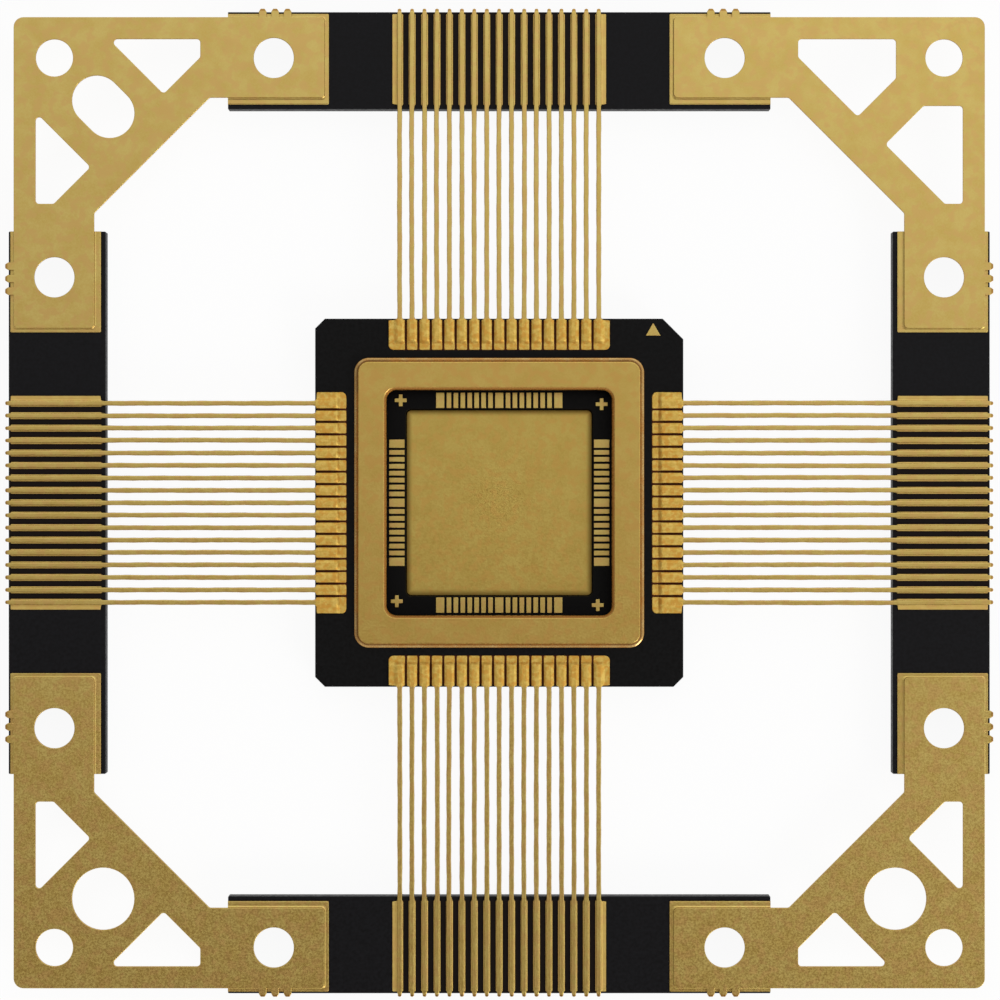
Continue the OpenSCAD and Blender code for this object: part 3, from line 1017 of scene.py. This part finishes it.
@dataclass
class LeadRow:
    """The leads of one side, and the pads that they are brazed to at both ends.

    Attributes:
        side: The side.
        lead_gold: The leads' finish.
        pad_gold: The finish of the pads on the body.
        bar_gold: The finish of the pads on the tie bar.
        lead_width: Width of a lead.
        tip_width: Width of its broken-off tip.
        tip_length: Length of the tip.
        tip_round: Length over which the tip rounds off.
        neck: Length over which a lead narrows to its tip.
        neck_power: Shape of the neck; 1 is straight and less is hollow.
        nose: Length over which the lead's inner end rounds off.
        stub: Least share of either rounding that is left at its end, so that a face can close it.
        half_section: Right half of a lead's section from top to bottom, as shares of half its width
            and of its thickness.
        pinch: Shares of its thickness that a lead has lost past its neck, at its tip's end and at
            its inner end.
        settle: Length before the tip with denser sections.
        sections: Numbers of sections round its inner end, along it, before the tip, along the tip
            and round the tip's end.
        waviness: Size of the unevenness of its edges.
        wave_lengths: Lengths of the waves that make up the unevenness.
        wave_shares: Their sizes as shares of the waviness.
        sway: Standard deviation of how far a lead strays sideways in its middle.
        body_pad_half: Half the width of a pad on the body.
        body_creep: How far its metal creeps on along the lead.
        body_extra: How much wider its end pads are.
        bar_pad_half: Half the width of a pad on the tie bar.
        bar_creep: How far its metal creeps on along the lead.
        bar_extra: How much wider its end pads are.
    """

    side: Side
    lead_gold: GoldPlate
    pad_gold: GoldPlate
    bar_gold: GoldPlate
    lead_width: float = 0.25 * MM
    tip_width: float = 0.20 * MM
    tip_length: float = 0.18 * MM
    tip_round: float = 0.065 * MM
    neck: float = 0.045 * MM
    neck_power: float = 0.7
    nose: float = 0.11 * MM
    stub: float = 0.03
    half_section: tuple[tuple[float, float], ...] = (
        (0.0, 1.0), (0.60, 1.0), (0.80, 0.985), (0.89, 0.92), (0.93, 0.78),
        (1.0, 0.50), (0.93, 0.22), (0.89, 0.08), (0.80, 0.015), (0.60, 0.0))
    pinch: tuple[float, float, float] = (0.2, 0.4, 0.25)
    settle: float = 0.3 * MM
    sections: tuple[int, int, int, int, int] = (6, 75, 3, 5, 4)
    waviness: float = 0.012 * MM
    wave_lengths: tuple[float, ...] = (3.4 * MM, 1.5 * MM, 0.62 * MM)
    wave_shares: tuple[float, ...] = (0.45, 0.35, 0.30)
    sway: float = 0.012 * MM
    body_pad_half: float = 0.2725 * MM
    body_creep: float = 0.16 * MM
    body_extra: float = 0.30 * MM
    bar_pad_half: float = 0.185 * MM
    bar_creep: float = 0.20 * MM
    bar_extra: float = 0.20 * MM

    def __post_init__(self) -> None:
        """Reads the row's places from the north side of the frame, which the others repeat."""
        self.low, self.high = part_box("leads_north")
        span = self.high.x - self.low.x - self.lead_width
        self.centres = np.linspace(-span / 2, span / 2, LEADS_PER_SIDE)
        self.rng = np.random.default_rng(SEED + self.side.value)

    def stations(self) -> np.ndarray:
        """Places of the sections along a lead, which crowd towards its rounded ends.

        Returns:
            The places in order, from the body outwards.
        """
        inner, outer = self.low.y, self.high.y
        shoulder = outer - self.tip_length
        round_nose, plain, settling, tip, round_tip = self.sections
        stretches = ((inner + self.nose, shoulder - self.settle, plain),
                     (shoulder - self.settle, shoulder, settling),
                     (shoulder, outer - self.tip_round, tip))
        return np.concatenate([
            inner + self.nose * eased(round_nose + 1)[:-1],
            *[np.linspace(start, end, count, endpoint=False) for start, end, count in stretches],
            outer - self.tip_round * (1 - eased(2 * round_tip + 1)[round_tip:]),
        ])

    def ripple(self, places: np.ndarray) -> np.ndarray:
        """Unevenness of one etched edge: sine waves of falling length and random phase.

        Args:
            places: Places along the lead.

        Returns:
            How far the edge lies out at each place.
        """
        phases = self.rng.uniform(0, 2 * np.pi, len(self.wave_lengths))
        waves = np.sin(2 * np.pi * places[:, None] / self.wave_lengths + phases)
        return waves @ (np.array(self.wave_shares) * self.waviness)

    def lead(self, centre: float) -> Patch:
        """One lead, its section carried from the body pad to the broken-off tip.

        The section is a flat strip whose etched sides come to a low ridge at half height. Its half
        width at a station is the nominal one plus the ripple of that edge. It is rounded off at the
        inner end, narrows along a power at the neck, and closes on a quarter circle. The whole lead
        strays sideways by half a sine wave.

        Args:
            centre: The lead's place across the row.

        Returns:
            The closed surface.
        """
        right_half = np.array(self.half_section)
        section = np.vstack([right_half, (0.0, 0.0), right_half[:0:-1] * (-1, 1)])
        inner, outer = self.low.y, self.high.y
        places = self.stations()
        entry = rolled(np.clip(places - inner, self.stub * self.nose, None), self.nose)
        neck = np.clip((places - outer + self.tip_length) / self.neck, 0, 1) ** self.neck_power
        close = rolled(np.clip(outer - places, self.stub * self.tip_round, None), self.tip_round)
        nominal = (self.lead_width + (self.tip_width - self.lead_width) * neck) / 2
        left = (nominal + self.ripple(places)) * entry * close
        right = (nominal + self.ripple(places)) * entry * close
        stray = self.rng.normal(0, self.sway) * np.sin(np.pi * (places - inner) / (outer - inner))
        across = np.where(section[:, 0] < 0, left[:, None], right[:, None]) * section[:, 0]
        left_over = 1 - np.stack([neck, 1 - close, 1 - entry], axis=-1) @ self.pinch
        height = (self.high.z - self.low.z) * (0.5 + (section[:, 1] - 0.5) * left_over[:, None])
        points = np.stack([centre + stray[:, None] + across,
                           np.broadcast_to(places[:, None], across.shape), self.low.z + height], axis=-1)
        return Patch.grid(self.side.turn(points), wrap=(False, True), caps=True)

    def pads(self, shape: PadShape, y: float, z: float, flip: bool) -> list[Patch]:
        """The pads of one end of the row, the first and the last of them widened outwards.

        Args:
            shape: Their shape.
            y: Place of their plain ends.
            z: Height of their undersides.
            flip: Whether their creeping ends point inwards.

        Returns:
            The pads, turned to this side.
        """
        first, plain, last = (shape.surface(wider_left=left, wider_right=right)
                              for left, right in ((True, False), (False, False), (False, True)))
        row = [first, *[plain] * (LEADS_PER_SIDE - 2), last]
        flipped = (1, -1 if flip else 1, 1)
        return [Patch(self.side.turn(pad.points * flipped + (x, y, z)), pad.faces)
                for x, pad in zip(self.centres, row)]

    def body_pads(self) -> None:
        """The pads on the body."""
        low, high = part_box("body_pads_north")
        shape = PadShape(half=self.body_pad_half, length=high.y - low.y - self.body_creep,
                         creep=self.body_creep, extra=self.body_extra, cut=0.06 * MM,
                         wide_cut=0.25 * MM, lead_from=self.low.y - low.y,
                         lead_half=self.lead_width / 2, thickness=self.low.z - low.z, swell=0.085 * MM,
                         crest=self.high.z - self.low.z + 0.006 * MM, run=(0.15 * MM, 0.16 * MM), power=0.9)
        piece_from(f"brazed_body_pads_{self.side.label}", self.pads(shape, low.y, low.z, flip=False),
                   self.pad_gold, [f"body_pads_{self.side.label}"])

    def bar_pads(self) -> None:
        """The pads on the tie bar, whose metal creeps inwards."""
        low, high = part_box("bar_pads_north")
        shape = PadShape(half=self.bar_pad_half, length=high.y - low.y - self.bar_creep,
                         creep=self.bar_creep, extra=self.bar_extra, cut=0.06 * MM, wide_cut=0.06 * MM,
                         lead_from=-1.0 * MM, lead_half=self.lead_width / 2,
                         thickness=self.low.z - low.z, swell=0.0, crest=0.018 * MM,
                         run=(0.075 * MM, 0.2 * MM), power=1.2)
        piece_from(f"brazed_bar_pads_{self.side.label}", self.pads(shape, high.y, low.z, flip=True),
                   self.bar_gold, [f"bar_pads_{self.side.label}"])

    def make(self) -> None:
        """Makes the leads and both rows of pads."""
        leads = [self.lead(centre) for centre in self.centres]
        piece_from(f"etched_leads_{self.side.label}", leads, self.lead_gold,
                   [f"leads_{self.side.label}"])
        self.body_pads()
        self.bar_pads()


@dataclass
class TieBar:
    """One ceramic bar with its printed lands, and the braze round the arms that lie on them.

    Attributes:
        side: The side.
        finish: The bar's finish.
        land_gold: The finish of its lands and of the braze on them.
        arm_width: Width of an arm.
        arm_inset: Bare ceramic between an arm and the bar's outer edge.
        arm_radius: Radius of the corners of an arm's end.
        land_rim: How far a land shows past an arm's end.
        land_radius: Radius of a land's corners.
        edge: Radius of the bar's own edges.
        skin: How far the braze covers the land, so that no two faces lie on each other.
        climb: How far the braze climbs the arm's wall.
        tuck: Share of the rim by which the braze goes on under the arm.
        meniscus: Share of the rim over which the braze runs out.
        rim_roll: Share of the rim that is rolled off at the land's edge.
    """

    side: Side
    finish: BlackCeramic
    land_gold: GoldPlate
    arm_width: float = 4.11 * MM
    arm_inset: float = 0.28 * MM
    arm_radius: float = 0.22 * MM
    land_rim: float = 0.20 * MM
    land_radius: float = 0.06 * MM
    edge: float = 0.05 * MM
    skin: float = 0.004 * MM
    climb: float = 0.05 * MM
    tuck: float = 0.2
    meniscus: float = 0.3
    rim_roll: float = 0.16

    def fence(self, reach: float, near: float, far: float, end: float, radius: float) -> np.ndarray:
        """An open path round the end of an arm: in along one side, round two corners and out again.

        Args:
            reach: Place of the arm's end, along the bar.
            near: Place of its inner side.
            far: Place of its outer side.
            end: Where the path starts and stops, along the bar.
            radius: Radius of the two corners.

        Returns:
            The path's points in plan.
        """
        return np.vstack([
            [[end, near]],
            arc((reach + radius, near + radius), radius, 270, 180, steps=6),
            arc((reach + radius, far - radius), radius, 180, 90, steps=6),
            [[end, far]],
        ])

    def arm_braze(self, mirror: int) -> Patch:
        """The printed rim and the braze meniscus round one arm.

        Each point lies between the arm's edge and the land's edge by its share; its height is a
        hollow quarter circle down the arm's wall, then flat, then rolled off at the land's edge.

        Args:
            mirror: 1 for one arm of the bar, and -1 for the other.

        Returns:
            The closed surface.
        """
        low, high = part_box("frame_lands_north")
        arm_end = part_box("corner_frame_northeast")[0].x
        arm_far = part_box("tie_bar_north")[1].y - self.arm_inset
        inner = self.fence(arm_end, arm_far - self.arm_width, arm_far, high.x, self.arm_radius)
        outer = self.fence(arm_end - self.land_rim - self.skin, low.y - self.skin, high.y + self.skin,
                           high.x, self.land_radius + self.skin)
        top = high.z + self.skin
        run_out = np.linspace(0, np.pi / 2, 6)
        roll_off = np.linspace(0, np.pi / 2, 5)
        share = np.concatenate([[-self.tuck, -self.tuck], self.meniscus * (1 - np.cos(run_out)),
                                1 - self.rim_roll * (1 - np.sin(roll_off))])
        height = np.concatenate([[low.z, top + self.climb], top + self.climb * (1 - np.sin(run_out)),
                                 low.z + (top - low.z) * np.cos(roll_off)])
        plan = inner[:, None, :] + (outer - inner)[:, None, :] * share[:, None]
        points = np.concatenate([plan, np.broadcast_to(height[:, None], plan.shape[:2] + (1,))], axis=-1)
        return Patch.grid(self.side.turn(points * (mirror, 1, 1)), wrap=(False, True), caps=True)

    def make(self) -> None:
        """Softens the bar, gives the frame's own lands their finish and adds the braze."""
        label = self.side.label
        softened(f"tie_bar_{label}", self.finish, self.edge)
        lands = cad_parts[f"frame_lands_{label}"]
        lands.data.materials.clear()
        lands.data.materials.append(self.land_gold.material())
        piece_from(f"arm_braze_{label}", [self.arm_braze(1), self.arm_braze(-1)], self.land_gold)


@dataclass
class CornerFrame:
    """One etched corner of the sheet, with the softened edges of etching and plating.

    Attributes:
        corner: The corner.
        finish: Its finish.
        edge: Radius of its edges.
    """

    corner: Corner
    finish: GoldPlate
    edge: float = 0.03 * MM

    def make(self) -> None:
        """Softens the corner's edges."""
        softened(f"corner_frame_{self.corner.value}", self.finish, self.edge)


# ---- Studio --------------------------------------------------------------------------------------


@dataclass
class Studio:
    """A pale floor, a soft dome of light that is brightest to the north, and the camera above.

    Attributes:
        floor_half: Half the width of the floor.
        floor_drop: How far it lies under the part.
        floor_white: Its colour.
        floor_glow: Share of plain white light in it, as the camera, a gloss or a glass sees it.
        sky_light: Strength of the sky away from its spots.
        sky_spread: Angle in degrees from the middle to the edge of the dim and the bright spot.
        dim_point: Direction of the dim spot.
        dim_light: Its strength as a share of the sky's.
        dim_tint: Its colour.
        bright_point: Direction of the bright spot.
        bright_light: Its strength as a share of the sky's.
        shade_point: Direction of the shaded west.
        shade_spread: Angle in degrees from its middle to its edge.
        shade_light: Its strength as a share of the sky's.
        lamp_from: Direction from which the lamp shines.
        lamp_angle: Its width in degrees.
        lamp_light: Its strength.
        eye_height: Height of the camera above the sheet.
        view_width: What the camera sees of the sheet's plane from side to side.
        aim: The point of the plan that the camera stands over.
        film_width: Width of the camera's film, in millimetres.
    """

    floor_half: float = 0.6
    floor_drop: float = 0.01 * MM
    floor_white: Colour = (0.95, 0.95, 0.95, 1.0)
    floor_glow: float = 0.93
    sky_light: float = 0.80
    sky_spread: float = 34.0
    dim_point: tuple[float, float, float] = (-0.03, -0.40, 0.92)
    dim_light: float = 0.08
    dim_tint: Colour = (1.0, 0.60, 0.30, 1.0)
    bright_point: tuple[float, float, float] = (0.20, 0.45, 0.87)
    bright_light: float = 1.78
    shade_point: tuple[float, float, float] = (-1.0, 0.0, 0.2)
    shade_spread: float = 62.0
    shade_light: float = 0.50
    lamp_from: tuple[float, float, float] = (0.58, -0.58, 0.57)
    lamp_angle: float = 24.0
    lamp_light: float = 0.95
    eye_height: float = 0.1700
    view_width: float = 51.0 * MM
    aim: tuple[float, float] = (0.04 * MM, 0.14 * MM)
    film_width: float = 36.0

    def floor(self) -> None:
        """A white sheet just under the part that keeps a share of the part's shadow."""
        half, z = self.floor_half, -self.floor_drop
        corners = [(-half, -half, z), (half, -half, z), (half, half, z), (-half, half, z)]
        mesh = bpy.data.meshes.new("floor")
        mesh.from_pydata(corners, [], [(0, 1, 2, 3)])
        material = bpy.data.materials.new("white_sheet")
        mesh.materials.append(material)
        nodes = Graph(material)
        nodes.tree.nodes.clear()
        rays = nodes.add("ShaderNodeLightPath").outputs
        mirrored = nodes.math("MAXIMUM", rays["Is Glossy Ray"], rays["Is Transmission Ray"])
        seen = nodes.math("MAXIMUM", rays["Is Camera Ray"], mirrored)
        share = nodes.math("MULTIPLY", seen, self.floor_glow)
        paper = nodes.add("ShaderNodeBsdfDiffuse", {"Color": self.floor_white}).outputs[0]
        glow = nodes.add("ShaderNodeEmission").outputs[0]
        mixed = nodes.add("ShaderNodeMixShader", {0: share, 1: paper, 2: glow}).outputs[0]
        nodes.add("ShaderNodeOutputMaterial", {"Surface": mixed})
        stand("floor", mesh)

    def dome(self) -> None:
        """An even world, dimmer south of the zenith and low in the west, brighter north of the zenith.

        Each spot multiplies the world's strength by a factor that goes smoothly from its own value
        at its middle to 1 at the edge of its spread. The light is white, and amber in the dim spot.
        """
        world = bpy.data.worlds.new("soft_dome")
        bpy.context.scene.world = world
        nodes = Graph(world)
        direction = nodes.add("ShaderNodeTexCoord").outputs["Generated"]

        def spot(towards: Sequence[float], spread: float, target: Range) -> Socket:
            """A value that goes from one at the edge of a spot to another at its middle.

            Args:
                towards: Direction of the spot's middle.
                spread: Angle in degrees from its middle to its edge.
                target: The value at its edge, and the value at its middle.

            Returns:
                The value.
            """
            inputs = {0: direction, 1: Vector(towards).normalized()}
            cosine = nodes.add("ShaderNodeVectorMath", inputs, operation="DOT_PRODUCT").outputs["Value"]
            return nodes.ramp(cosine, (float(np.cos(np.radians(spread))), 1.0), target)

        sky = (self.sky_light, self.sky_light * self.dim_light)
        strength = nodes.product(spot(self.dim_point, self.sky_spread, sky),
                                 spot(self.bright_point, self.sky_spread, (1.0, self.bright_light)),
                                 spot(self.shade_point, self.shade_spread, (1.0, self.shade_light)))
        warmth = spot(self.dim_point, self.sky_spread, (0.0, 1.0))
        light = nodes.tree.nodes["Background"]
        nodes.feed(light.inputs["Strength"], strength)
        nodes.feed(light.inputs["Color"], nodes.blend(warmth, (1.0, 1.0, 1.0, 1.0), self.dim_tint))

    def lamp(self) -> None:
        """One soft lamp far off to the southeast, for the glints on rounded edges."""
        light = bpy.data.lights.new("lamp", "SUN")
        light.energy = self.lamp_light
        light.angle = np.radians(self.lamp_angle)
        stand("lamp", light).rotation_euler = Vector(self.lamp_from).to_track_quat("Z", "Y").to_euler()

    def camera(self) -> None:
        """A camera that looks straight down from the height at which the sheet fills the view."""
        lens = bpy.data.cameras.new("eye")
        lens.sensor_width = self.film_width
        lens.lens = self.film_width * self.eye_height / self.view_width
        eye = stand("eye", lens)
        eye.location = (*self.aim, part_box("corner_frame_northeast")[1].z + self.eye_height)
        bpy.context.scene.camera = eye

    def make(self) -> None:
        """Sets up the whole studio."""
        bpy.context.scene.view_settings.view_transform = "Standard"
        self.floor()
        self.dome()
        self.lamp()
        self.camera()


# ---- The whole -----------------------------------------------------------------------------------


def body_ceramic() -> BlackCeramic:
    """The body's ceramic, brown between the lead pads and darker down in the cavity by painted shade.

    Returns:
        The finish.
    """
    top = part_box("ceramic_body")[1].z
    low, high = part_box("body_pads_north")
    unbrowned_rim = 0.24 * MM
    return BlackCeramic(
        "fired_ceramic_body", light=(0.0044, 0.0044, 0.0047, 1), dark=(0.0020, 0.0020, 0.0022, 1),
        gap_brown=srgb(74, 34, 14), browned=(low.y, high.y - unbrowned_rim),
        gap_brown_half=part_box("leads_north")[1].x, gloss=0.10, cavity_shade_half=6.5 * MM,
        cavity_shade_from=(top - 0.02 * MM, top - 0.2 * MM))


def bar_ceramic() -> BlackCeramic:
    """The tie bars' ceramic, a little bluer and faintly brown between the leads.

    Returns:
        The finish.
    """
    low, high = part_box("tie_bar_north")
    unbrowned_rim = 0.2 * MM
    return BlackCeramic(
        "fired_ceramic_bar", light=(0.0048, 0.0048, 0.0062, 1), dark=(0.0022, 0.0022, 0.0030, 1),
        gap_brown=srgb(17, 8, 4), browned=(low.y + unbrowned_rim, high.y),
        gap_brown_half=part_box("leads_north")[1].x, gloss=0.14)


def main() -> None:
    """Builds the studio and every sub-assembly."""
    logging.basicConfig(level=logging.INFO, format="%(name)s: %(message)s")
    Studio().make()

    floor_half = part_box("die_attach_pad")[1].x
    floor_shade_rim = 0.34 * MM
    # Each finish's steep colour is painted shade: the brown that its walls and fillet feet get.
    sheet_gold = GoldPlate("plated_sheet")
    print_gold = GoldPlate("plated_ink")
    # The floor's dark rim is painted shade and reflection of the dark cavity walls, laid on by the
    # broken-off-end mask.
    floor_gold = GoldPlate("plated_floor", light=srgb(202, 180, 98), dark=srgb(193, 166, 85),
                           warm=srgb(203, 167, 89), steep=srgb(92, 70, 26),
                           torn_and_rim_shade_from=(floor_half - floor_shade_rim, floor_half))
    ring_gold = GoldPlate("plated_ring", light=srgb(204, 178, 99), dark=srgb(195, 165, 86),
                          warm=srgb(203, 164, 90), steep=srgb(168, 114, 46), dull=0.45,
                          steep_from=(0.97, 0.70))
    ring_braze = GoldPlate("plated_ring_braze", light=srgb(214, 180, 118), dark=srgb(188, 146, 84),
                           warm=srgb(196, 144, 82), steep=srgb(150, 96, 34), rough=(0.22, 0.30),
                           burnished=0.2, dull=0.8, relief=0.2 * MICRON, steep_from=(0.86, 0.56))
    pad_gold = GoldPlate("plated_pad_braze", light=srgb(229, 201, 112), dark=srgb(205, 168, 76),
                         warm=srgb(212, 157, 67), rough=(0.52, 0.66), burnished=0.5, cloud=0.26 * MM,
                         patch=0.22 * MM, steep_from=(0.60, 0.15))
    bar_gold = GoldPlate("plated_bar_braze", light=srgb(222, 197, 118), dark=srgb(212, 181, 100),
                         warm=srgb(216, 179, 108), rough=(0.46, 0.60), cloud=0.5 * MM,
                         steep_from=(0.70, 0.2))

    CeramicPackage(body_ceramic(), floor_gold, print_gold).make()
    SealRing(ring_gold, ring_braze).make()
    bar_finish = bar_ceramic()
    for side in Side:
        LeadRow(side, sheet_gold, pad_gold, bar_gold).make()
        TieBar(side, bar_finish, sheet_gold).make()
    for corner in Corner:
        CornerFrame(corner, sheet_gold).make()


if __name__ == "__main__":
    main()
